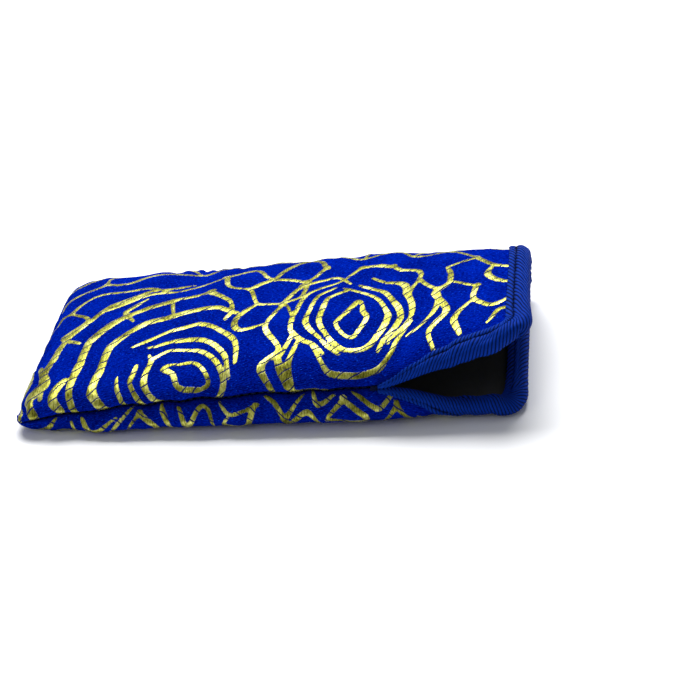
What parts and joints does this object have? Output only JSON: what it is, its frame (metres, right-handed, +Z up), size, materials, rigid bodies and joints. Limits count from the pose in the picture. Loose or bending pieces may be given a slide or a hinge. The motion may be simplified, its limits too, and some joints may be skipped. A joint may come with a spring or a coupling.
{
  "type": "soft glasses pouch",
  "caption": "Soft padded slip-in pouch for spectacles: brocade outside, folded at one end, bound in twill tape round its open mouth and the slit beside it.",
  "frame": {"origin": "middle of the pouch's box at the height of the table it lies on", "axes": "+X from the folded closed end to the mouth, +Z up from the table, -Y the side with the slit"},
  "size_m": [0.1728, 0.0956, 0.0329],
  "materials": {
    "brocade": "woven satin ground with raised gold metallic outline figures",
    "padding": "soft foam wadding between the two cloths",
    "lining": "brushed black flannel",
    "tape": "twill binding tape with fine slanting ribs",
    "thread": "spun sewing thread"
  },
  "bodies": {
    "pouch": {"brocade_sheet": "brocade", "padding_sheet": "padding", "lining_sheet": "lining", "lower_lip_binding": "tape", "back_corner_binding": "tape", "lower_binding_thread": "thread", "front_seam_thread": "thread", "back_seam_thread": "thread", "slit_bar_tack": "thread"},
    "upper_lip": {"brocade_upper_lip": "brocade", "padding_upper_lip": "padding", "lining_upper_lip": "lining", "upper_lip_binding": "tape", "upper_binding_thread": "thread"}
  },
  "joints": [
    {"name": "lip_lift", "type": "hinge", "parent": "pouch", "child": "upper_lip", "pos_m": [0.06, -0.00174, 0.02073], "axis": [-0.4823, -0.8755, -0.029], "range_deg": [-30, 26], "stiffness_Nm_per_rad": 0.02}
  ]
}
